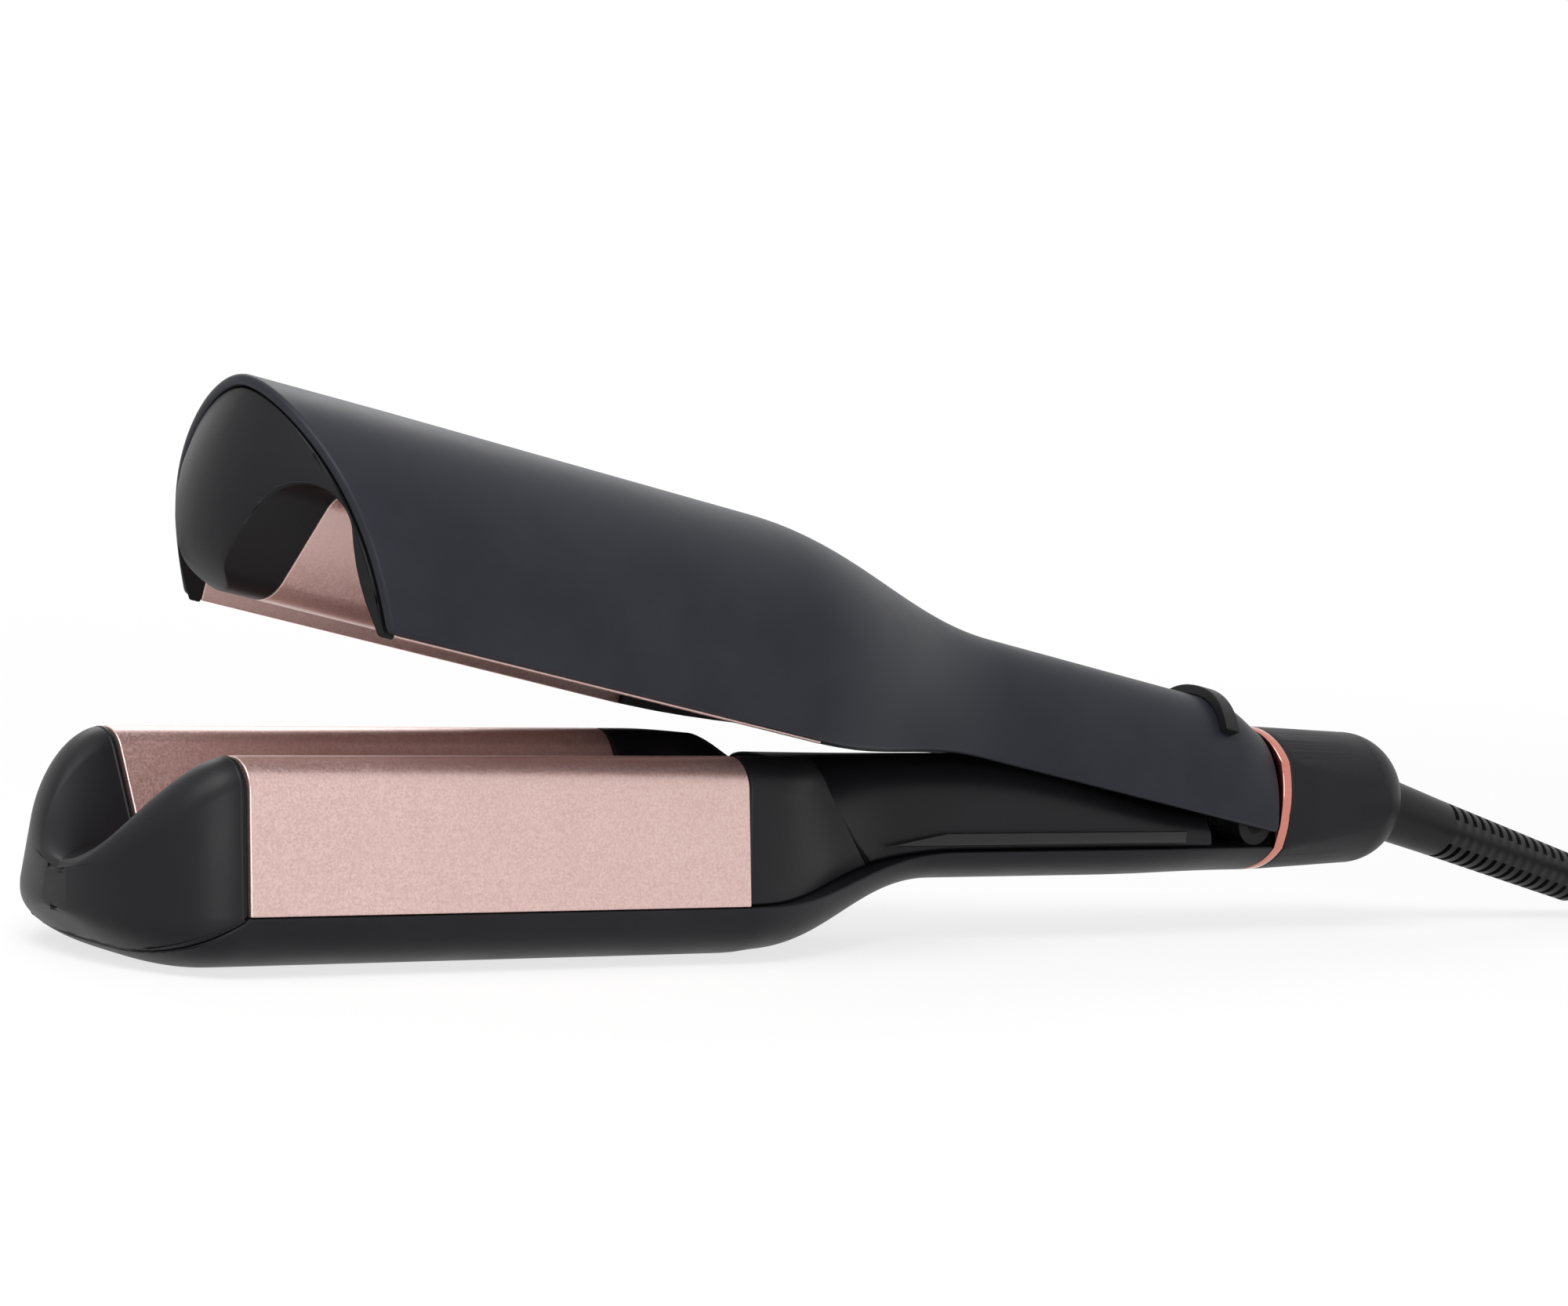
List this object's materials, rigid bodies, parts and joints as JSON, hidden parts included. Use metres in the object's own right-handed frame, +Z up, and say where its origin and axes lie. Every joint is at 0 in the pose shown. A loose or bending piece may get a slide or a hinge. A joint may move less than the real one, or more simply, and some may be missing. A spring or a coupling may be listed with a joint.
{
  "type": "hair waver",
  "caption": "Two-armed electric hair waver lying open, with deep wave plates, a sprung hinge, a lock slider and a cord in a coil.",
  "frame": {"origin": "on the flat under the lower jaw, below the middle of its plate", "axes": "+X along the lower arm from the tips to the cord, +Z up, lower arm level"},
  "size_m": [0.4796, 0.104, 0.0956],
  "materials": {
    "casing": "fine satin, charcoal",
    "black_trim": "satin black",
    "gloss_black": "polished black",
    "rose_plate": "satin rose gold coating",
    "rose_trim": "polished rose gold plating",
    "carrier": "heat-resistant moulding",
    "heater": "plain",
    "board": "coated board",
    "steel": "plain",
    "cord_black": "matt",
    "plug_black": "satin",
    "pin_metal": "nickel plated"
  },
  "bodies": {
    "lower_arm": {"lower_casing": "casing", "lower_tip_cap": "black_trim", "lower_plate": "rose_plate", "lower_carrier": "carrier", "lower_heater": "heater", "lower_neck": "black_trim", "grip_body": "black_trim", "control_strips": "gloss_black", "circuit_board": "board", "hinge_block": "black_trim", "hinge_pin": "steel", "opening_spring": "steel", "trim_ring": "rose_trim", "end_cap": "black_trim", "strain_relief": "cord_black", "cord": "cord_black", "cord_coil": "cord_black", "cord_tail": "cord_black", "plug_body": "plug_black", "plug_pins": "pin_metal"},
    "upper_arm": {"upper_casing": "casing", "upper_tip_cap": "black_trim", "upper_plate": "rose_plate", "upper_carrier": "carrier", "upper_heater": "heater", "upper_neck": "black_trim", "hinge_yoke": "black_trim"},
    "lock_slider": {"slider_knob": "gloss_black"}
  },
  "joints": [
    {"name": "jaw_hinge", "type": "hinge", "parent": "lower_arm", "child": "upper_arm", "pos_m": [0.1835, 0, 0.0211], "axis": [0, -1, 0], "range_deg": [0, 10.8], "stiffness_Nm_per_rad": 1.3, "springref_deg": -25.78},
    {"name": "lock_slide", "type": "slide", "parent": "upper_arm", "child": "lock_slider", "axis": [-0.9823, 0, 0.1874], "range_m": [0, 0.004]}
  ]
}
